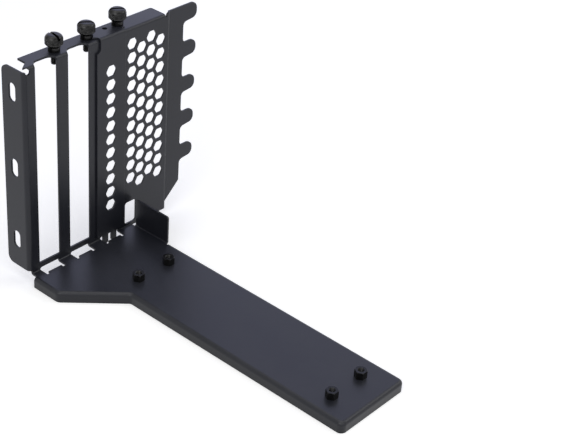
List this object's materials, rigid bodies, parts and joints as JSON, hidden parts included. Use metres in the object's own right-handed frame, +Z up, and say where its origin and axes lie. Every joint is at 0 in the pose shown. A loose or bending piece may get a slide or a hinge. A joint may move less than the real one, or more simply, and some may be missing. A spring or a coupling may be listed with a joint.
{
  "type": "vertical gpu bracket",
  "caption": "Black folded-steel bracket that holds a graphics card upright in a computer case, with card slots, vents, a hooked comb, thumbscrews and a riser tray.",
  "frame": {"origin": "on the surface the tray stands on, under the middle of the bracket's outer box seen from above", "axes": "+Z up along the rear panel; +Y outward through the rear panel, the tray reaches toward -Y; +X along the panel from the side flange to the comb"},
  "size_m": [0.1152, 0.199, 0.1305],
  "materials": {
    "coated_steel": "satin black powder coat",
    "screws": "black oxide, half gloss",
    "standoffs": "black plated"
  },
  "bodies": {
    "bracket": {"frame": "coated_steel", "slot_cover": "coated_steel", "standoff_back_left": "standoffs", "standoff_back_right": "standoffs", "standoff_front_left": "standoffs", "standoff_front_right": "standoffs"},
    "screw_1": {"thumbscrew_1": "screws"},
    "screw_2": {"thumbscrew_2": "screws"},
    "screw_3": {"thumbscrew_3": "screws"}
  },
  "joints": [
    {"name": "screw_1_turn", "type": "hinge", "parent": "bracket", "child": "screw_1", "pos_m": [-0.03386, 0.0895, 0.122], "axis": [0, 0, 1], "continuous": true},
    {"name": "screw_2_turn", "type": "hinge", "parent": "bracket", "child": "screw_2", "pos_m": [-0.01354, 0.0895, 0.122], "axis": [0, 0, 1], "continuous": true},
    {"name": "screw_3_turn", "type": "hinge", "parent": "bracket", "child": "screw_3", "pos_m": [0.00679, 0.0895, 0.123], "axis": [0, 0, 1], "continuous": true}
  ]
}
